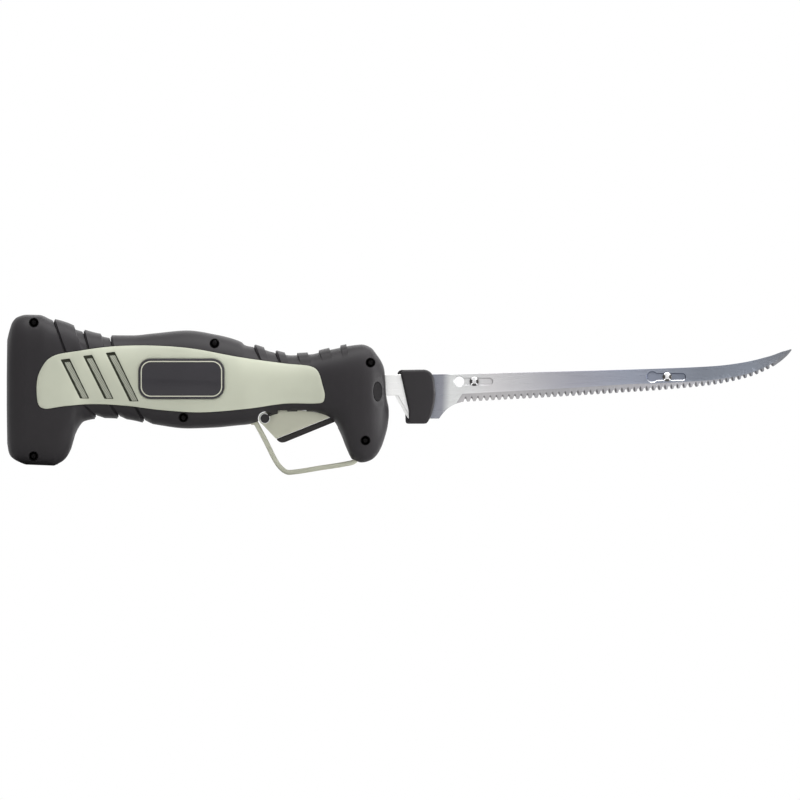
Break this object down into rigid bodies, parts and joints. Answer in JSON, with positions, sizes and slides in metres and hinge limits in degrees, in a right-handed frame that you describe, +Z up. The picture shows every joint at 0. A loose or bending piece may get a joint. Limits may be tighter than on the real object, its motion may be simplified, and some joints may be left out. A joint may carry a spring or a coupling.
{
  "type": "electric fillet knife",
  "caption": "Cordless electric fillet knife: two-shell handle with heel, ribbed grip, trigger and guard, and paired serrated blades that saw against each other.",
  "frame": {"origin": "centre of the bounding box on the surface that the heel and the trigger guard stand on", "axes": "+X from the heel to the blade tip, +Y to the knife's left, +Z up"},
  "size_m": [0.447, 0.0453, 0.0854],
  "materials": {
    "casing": "soft-touch satin",
    "grip_panel": "matt with a fine grain",
    "pale_trim": "matt",
    "dark_plastic": "satin",
    "pad_rubber": "matt",
    "blade_steel": "brushed",
    "plain_steel": "plain",
    "bronze": "plain",
    "nylon": "matt",
    "cell_wrap": "film wrapped",
    "board": "coated",
    "red_lead": "satin",
    "black_lead": "satin"
  },
  "bodies": {
    "handle": {"right_shell": "casing", "left_shell": "casing", "right_grip_panel": "grip_panel", "left_grip_panel": "grip_panel", "name_plate": "dark_plastic", "trigger_guard": "pale_trim", "heel_top_screw": "plain_steel", "heel_bottom_screw": "plain_steel", "grip_lower_screw": "plain_steel", "grip_upper_screw": "plain_steel", "head_upper_screw": "plain_steel", "head_lower_screw": "plain_steel", "trigger_screw": "plain_steel", "trigger_spring": "plain_steel", "micro_switch": "dark_plastic", "motor_can": "plain_steel", "motor_end_cap": "dark_plastic", "gear_frame": "nylon", "shaft_bush": "bronze", "gear_axle": "plain_steel", "right_button_spring": "plain_steel", "left_button_spring": "plain_steel", "upper_cell": "cell_wrap", "lower_cell": "cell_wrap", "heel_cell": "cell_wrap", "rear_cell_strap": "plain_steel", "front_cell_strap": "plain_steel", "control_board": "board", "charge_socket": "dark_plastic", "motor_lead_red": "red_lead", "motor_lead_black": "black_lead", "switch_lead_feed": "red_lead", "switch_lead_return": "black_lead"},
    "rotor": {"motor_shaft": "plain_steel", "worm": "bronze"},
    "gear": {"drive_gear": "nylon"},
    "right_slider": {"right_yoke": "nylon", "right_blade_latch": "plain_steel"},
    "left_slider": {"left_yoke": "nylon", "left_blade_latch": "plain_steel"},
    "right_blade_set": {"right_blade": "blade_steel", "right_collar": "casing"},
    "left_blade_set": {"left_blade": "blade_steel", "left_collar": "casing", "rear_rivet": "blade_steel", "front_rivet": "blade_steel"},
    "trigger_lever": {"trigger": "pale_trim", "trigger_pad": "pad_rubber"},
    "right_button": {"right_release_button": "dark_plastic"},
    "left_button": {"left_release_button": "dark_plastic"}
  },
  "joints": [
    {"name": "motor_turn", "type": "hinge", "parent": "handle", "child": "rotor", "pos_m": [-0.03428, 0, 0.04787], "axis": [0.9993, 0, 0.0384], "range_deg": [-781, 421]},
    {"name": "drive_gear_turn", "type": "hinge", "parent": "handle", "child": "gear", "pos_m": [-0.0347, 0, 0.05886], "axis": [0, 1, 0], "range_deg": [-78.1, 42.1]},
    {"name": "right_blade_stroke", "type": "slide", "parent": "handle", "child": "right_slider", "axis": [0.9993, 0, 0.0384], "range_m": [-0.00379, 0.00204]},
    {"name": "left_blade_stroke", "type": "slide", "parent": "handle", "child": "left_slider", "axis": [0.9993, 0, 0.0384], "range_m": [-0.00204, 0.00379]},
    {"name": "right_blade_pull", "type": "slide", "parent": "right_slider", "child": "right_blade_set", "axis": [0.9993, 0, 0.0384], "range_m": [0, 0.045]},
    {"name": "left_blade_pull", "type": "slide", "parent": "left_slider", "child": "left_blade_set", "axis": [0.9993, 0, 0.0384], "range_m": [0, 0.045]},
    {"name": "trigger_pull", "type": "hinge", "parent": "handle", "child": "trigger_lever", "pos_m": [-0.07498, 0, 0.03149], "axis": [0, -1, 0], "range_deg": [0, 7], "stiffness_Nm_per_rad": 0.25, "springref_deg": -11.46, "deforming": ["trigger_spring"]},
    {"name": "right_release_press", "type": "slide", "parent": "handle", "child": "right_button", "axis": [0, 1, 0], "range_m": [0, 0.0018], "stiffness_N_per_m": 400, "springref_m": -0.002, "deforming": ["right_button_spring"]},
    {"name": "left_release_press", "type": "slide", "parent": "handle", "child": "left_button", "axis": [0, -1, 0], "range_m": [0, 0.0018], "stiffness_N_per_m": 400, "springref_m": -0.002, "deforming": ["left_button_spring"]}
  ],
  "couplings": [
    {"joint": "left_blade_stroke", "follows": "right_blade_stroke", "ratio": -1},
    {"joint": "drive_gear_turn", "follows": "right_blade_stroke", "rad_per_m": 359.19},
    {"joint": "motor_turn", "follows": "right_blade_stroke", "rad_per_m": 3591.9},
    {"joint": "left_blade_pull", "follows": "right_blade_pull", "ratio": 1}
  ]
}
